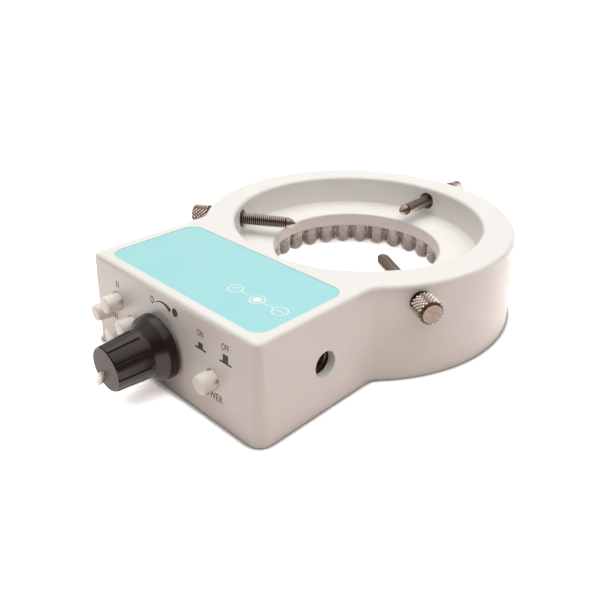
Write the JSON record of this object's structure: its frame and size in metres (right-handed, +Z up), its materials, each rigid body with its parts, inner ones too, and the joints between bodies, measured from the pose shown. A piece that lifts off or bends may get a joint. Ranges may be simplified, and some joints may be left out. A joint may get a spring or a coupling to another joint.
{
  "type": "led ring light",
  "caption": "Keyhole-shaped LED ring light for a microscope with a dimmer knob, push buttons, knurled thumbscrews round its stepped bore and a DC inlet in its control box.",
  "frame": {"origin": "on the ring's optical axis, in the base plane", "axes": "+Z up along the optical axis, the control box runs out towards -Y, the DC inlet opens towards +X"},
  "size_m": [0.1036, 0.1551, 0.0288],
  "materials": {
    "ivory_plastic": "fine satin moulding",
    "label_film": "satin printed film",
    "button_plastic": "satin",
    "knob_plastic": "fine satin",
    "pointer_plastic": "satin",
    "led_epoxy": "clear, polished",
    "led_board_mask": "white solder mask",
    "circuit_board": "green solder mask",
    "black_plastic": "fine matte",
    "stem_plastic": "smooth moulding",
    "plated_steel": "zinc plated",
    "screw_steel": "dark nickel",
    "insert_brass": "turned",
    "ribbon_sheath": "smooth",
    "lead_sheath": "smooth"
  },
  "bodies": {
    "light": {"housing": "ivory_plastic", "bottom_cover": "ivory_plastic", "label": "label_film", "led_board": "led_board_mask", "led_quadrant_1": "led_epoxy", "led_quadrant_2": "led_epoxy", "led_quadrant_3": "led_epoxy", "led_quadrant_4": "led_epoxy", "control_board": "circuit_board", "dimmer_pot": "plated_steel", "pot_washer": "plated_steel", "pot_nut": "plated_steel", "power_switch": "black_plastic", "zone_1_switch": "black_plastic", "zone_2_switch": "black_plastic", "zone_3_switch": "black_plastic", "zone_4_switch": "black_plastic", "dc_jack": "black_plastic", "led_cable": "ribbon_sheath", "jack_cable": "lead_sheath", "screw_insert_1": "insert_brass", "screw_insert_2": "insert_brass", "screw_insert_3": "insert_brass"},
    "dimmer_knob": {"knob": "knob_plastic", "knob_pointer": "pointer_plastic", "pot_shaft": "plated_steel"},
    "power_button": {"power_cap": "button_plastic", "power_plunger": "stem_plastic"},
    "zone_1_button": {"zone_1_cap": "button_plastic", "zone_1_plunger": "stem_plastic"},
    "zone_2_button": {"zone_2_cap": "button_plastic", "zone_2_plunger": "stem_plastic"},
    "zone_3_button": {"zone_3_cap": "button_plastic", "zone_3_plunger": "stem_plastic"},
    "zone_4_button": {"zone_4_cap": "button_plastic", "zone_4_plunger": "stem_plastic"},
    "screw_1_nose": {"thumbscrew_nose_1": "screw_steel"},
    "screw_1": {"thumbscrew_1": "screw_steel"},
    "screw_2_nose": {"thumbscrew_nose_2": "screw_steel"},
    "screw_2": {"thumbscrew_2": "screw_steel"},
    "screw_3_nose": {"thumbscrew_nose_3": "screw_steel"},
    "screw_3": {"thumbscrew_3": "screw_steel"}
  },
  "joints": [
    {"name": "dimmer_turn", "type": "hinge", "parent": "light", "child": "dimmer_knob", "pos_m": [-0.00208, -0.07709, 0.0128], "axis": [0, 1, 0], "range_deg": [0, 270]},
    {"name": "power_push", "type": "slide", "parent": "light", "child": "power_button", "axis": [0, 1, 0], "range_m": [0, 0.002], "stiffness_N_per_m": 400},
    {"name": "zone_1_push", "type": "slide", "parent": "light", "child": "zone_1_button", "axis": [0, 1, 0], "range_m": [0, 0.002], "stiffness_N_per_m": 400},
    {"name": "zone_2_push", "type": "slide", "parent": "light", "child": "zone_2_button", "axis": [0, 1, 0], "range_m": [0, 0.002], "stiffness_N_per_m": 400},
    {"name": "zone_3_push", "type": "slide", "parent": "light", "child": "zone_3_button", "axis": [0, 1, 0], "range_m": [0, 0.002], "stiffness_N_per_m": 400},
    {"name": "zone_4_push", "type": "slide", "parent": "light", "child": "zone_4_button", "axis": [0, 1, 0], "range_m": [0, 0.002], "stiffness_N_per_m": 400},
    {"name": "screw_1_advance", "type": "slide", "parent": "light", "child": "screw_1_nose", "axis": [0, -1, 0], "range_m": [-0.014, 0.0035]},
    {"name": "screw_1_turn", "type": "hinge", "parent": "screw_1_nose", "child": "screw_1", "pos_m": [0, 0.0545, 0.0237], "axis": [0, -1, 0], "range_deg": [-7200, 1800]},
    {"name": "screw_2_advance", "type": "slide", "parent": "light", "child": "screw_2_nose", "axis": [0.866, 0.5, 0], "range_m": [-0.014, 0.0007]},
    {"name": "screw_2_turn", "type": "hinge", "parent": "screw_2_nose", "child": "screw_2", "pos_m": [-0.0446, -0.02575, 0.0237], "axis": [0.866, 0.5, 0], "range_deg": [-7200, 360]},
    {"name": "screw_3_advance", "type": "slide", "parent": "light", "child": "screw_3_nose", "axis": [-0.866, 0.5, 0], "range_m": [-0.014, 0.0007]},
    {"name": "screw_3_turn", "type": "hinge", "parent": "screw_3_nose", "child": "screw_3", "pos_m": [0.0446, -0.02575, 0.0237], "axis": [-0.866, 0.5, 0], "range_deg": [-7200, 360]}
  ],
  "couplings": [
    {"joint": "screw_1_turn", "follows": "screw_1_advance", "rad_per_m": 8976},
    {"joint": "screw_2_turn", "follows": "screw_2_advance", "rad_per_m": 8976},
    {"joint": "screw_3_turn", "follows": "screw_3_advance", "rad_per_m": 8976}
  ]
}
